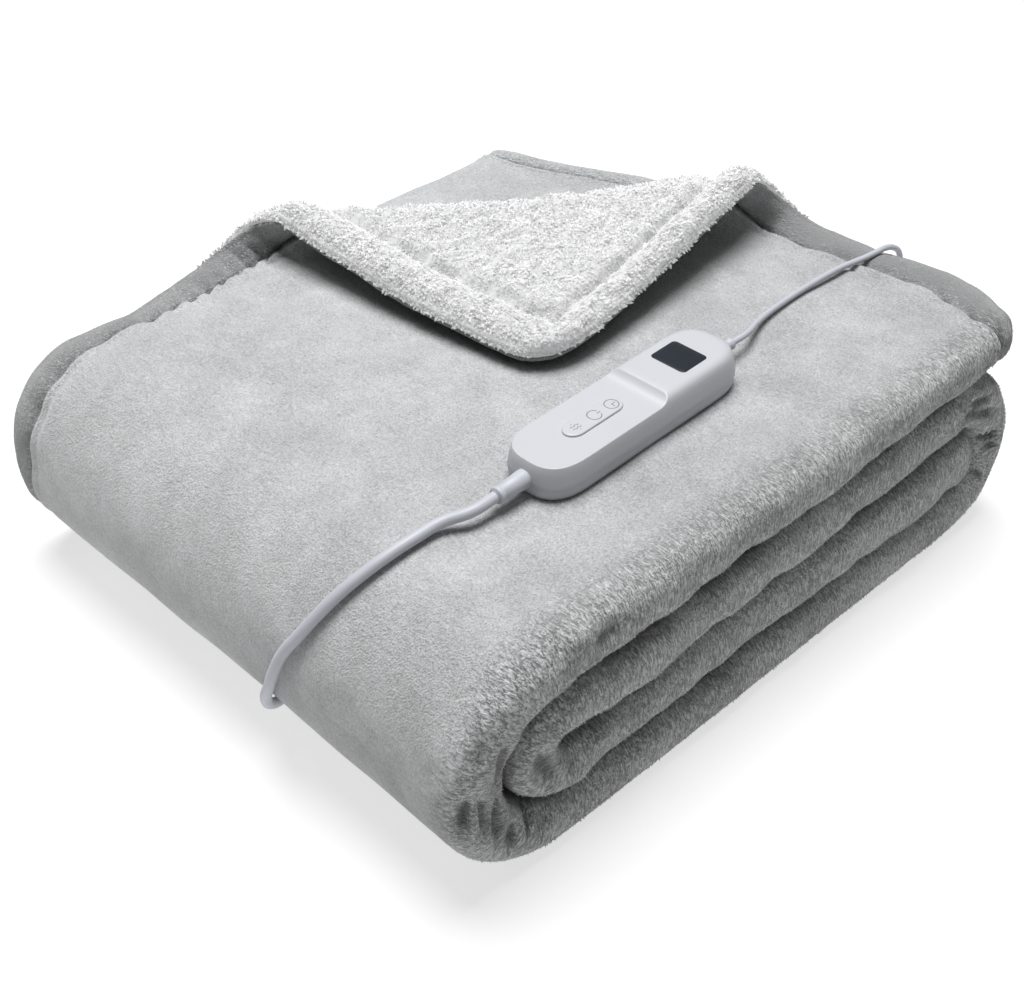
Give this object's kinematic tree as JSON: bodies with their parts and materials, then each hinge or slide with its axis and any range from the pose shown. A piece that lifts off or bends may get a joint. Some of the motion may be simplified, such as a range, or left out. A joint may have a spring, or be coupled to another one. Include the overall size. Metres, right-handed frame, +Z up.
{
  "type": "electric heated blanket",
  "caption": "Heated throw with a plush face and a sherpa back, folded into a flat stack, with its handset, its leads and a plug.",
  "frame": {"origin": "middle of the folded stack's footprint, on the surface that it lies on", "axes": "+X along the stack's longer side, in which the strip is wound and the handset lies, +Y along its shorter side, from the handset's edge to the hem, +Z up"},
  "size_m": [0.4563, 0.4753, 0.1781],
  "materials": {
    "plush_face": "short brushed plush pile",
    "sherpa_back": "thick curly sherpa pile",
    "white_shell": "satin",
    "display_glass": "smooth and dark",
    "white_cord": "soft satin",
    "dark_strap": "matt woven strap",
    "plated_pin": "plated, satin"
  },
  "bodies": {
    "root": {"plush_panel": "plush_face", "sherpa_panel": "sherpa_back", "handset_base": "white_shell", "handset_top": "white_shell", "display_window": "display_glass", "button_pad": "white_shell", "mains_gland": "white_cord", "lead_gland": "white_cord", "mains_lead": "white_cord", "throw_lead": "white_cord", "mains_tail": "white_cord", "mains_coil": "white_cord", "coil_tie": "dark_strap", "plug_body": "white_cord", "plug_pin_a": "plated_pin", "plug_pin_b": "plated_pin", "plug_sleeve": "white_cord"}
  },
  "joints": []
}
